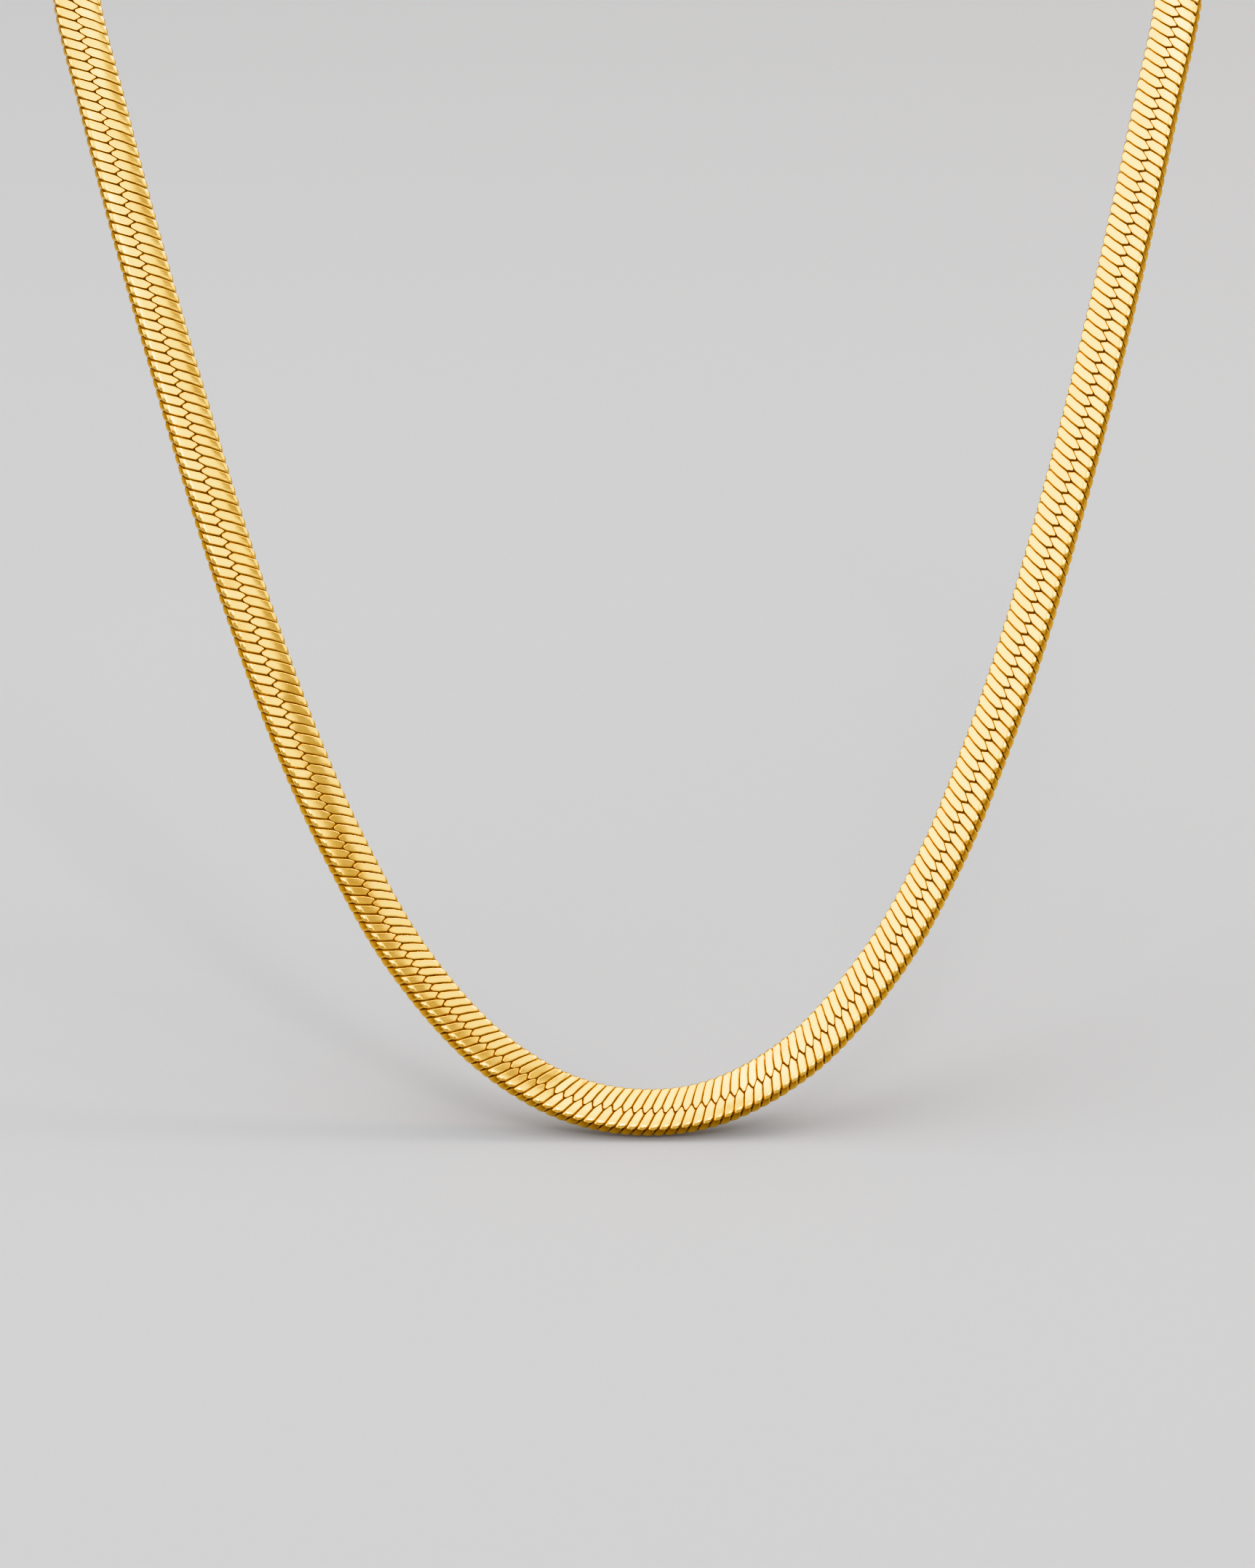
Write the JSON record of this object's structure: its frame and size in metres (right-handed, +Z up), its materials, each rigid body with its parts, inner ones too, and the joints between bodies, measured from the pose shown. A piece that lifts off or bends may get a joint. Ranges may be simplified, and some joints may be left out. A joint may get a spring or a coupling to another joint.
{
  "type": "herringbone chain necklace",
  "caption": "Flat herringbone chain of slanted, interlocked flat links, worn as a necklace that hangs in a U in front and closes with a plain clasp at the nape.",
  "frame": {"origin": "middle of the clasp's inner face, where the necklace rests on the nape of the neck", "axes": "+Z up, -Y to the front, where the chain hangs lowest, +X to the wearer's left"},
  "size_m": [0.1236, 0.1025, 0.1389],
  "materials": {
    "chain": "polished yellow gold plate, slightly brushed along each link",
    "clasp": "polished yellow gold plate"
  },
  "bodies": {
    "root": {"chain": "chain", "clasp": "clasp"}
  },
  "joints": []
}
